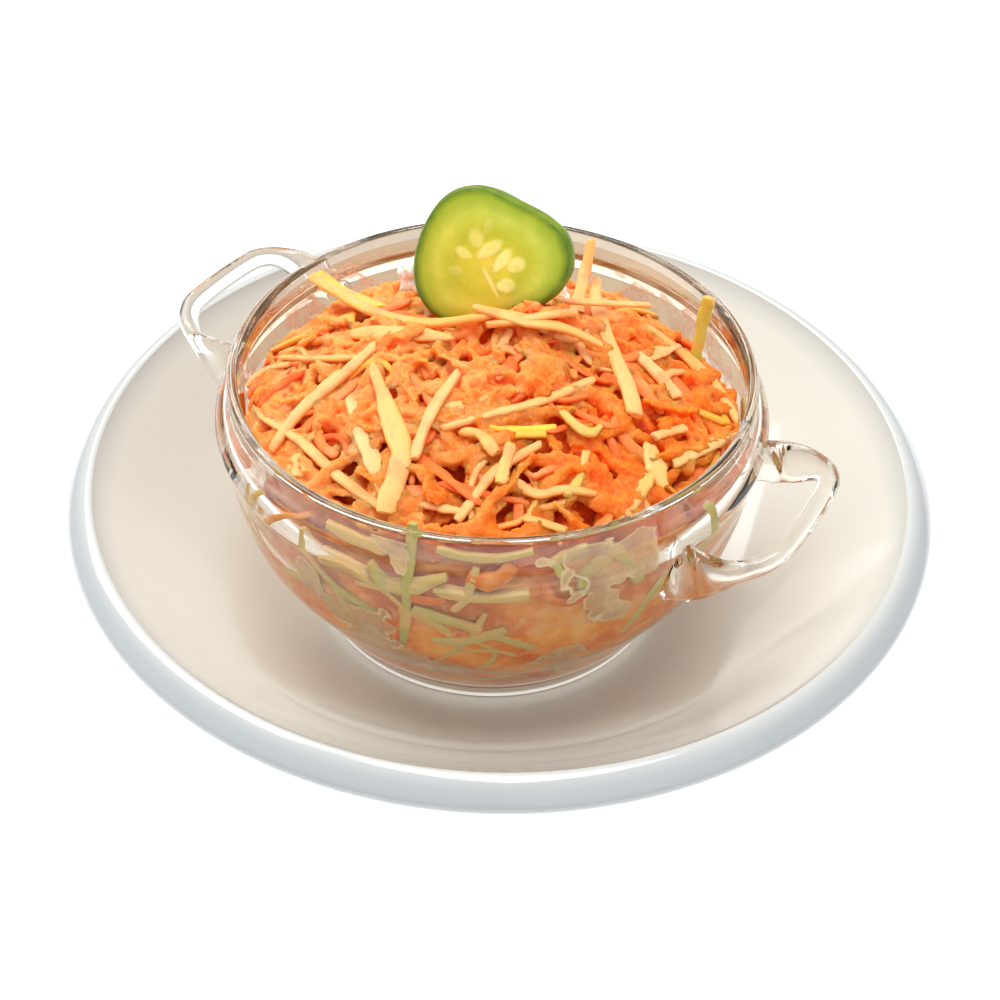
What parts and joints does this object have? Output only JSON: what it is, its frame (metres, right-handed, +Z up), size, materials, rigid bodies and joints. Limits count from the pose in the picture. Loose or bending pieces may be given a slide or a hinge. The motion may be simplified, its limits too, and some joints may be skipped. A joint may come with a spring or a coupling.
{
  "type": "coleslaw",
  "caption": "Coleslaw of shredded carrot and cabbage heaped in a clear glass cup with two handles, topped with a slice of cucumber, standing in a deep white saucer.",
  "frame": {"origin": "middle of the saucer's foot, on the surface that it stands on", "axes": "+Z up, +X along the cup's two handles, the heap stands highest against the glass towards +X -Y"},
  "size_m": [0.2, 0.2, 0.1022],
  "materials": {
    "porcelain": "glossy white glaze",
    "clear_glass": "clear, pressed",
    "dressed_shreds": "moist, creamy",
    "cucumber": "moist cut flesh with a green skin"
  },
  "bodies": {
    "root": {"saucer": "porcelain", "cup": "clear_glass", "coleslaw": "dressed_shreds", "cucumber_slice": "cucumber"}
  },
  "joints": []
}
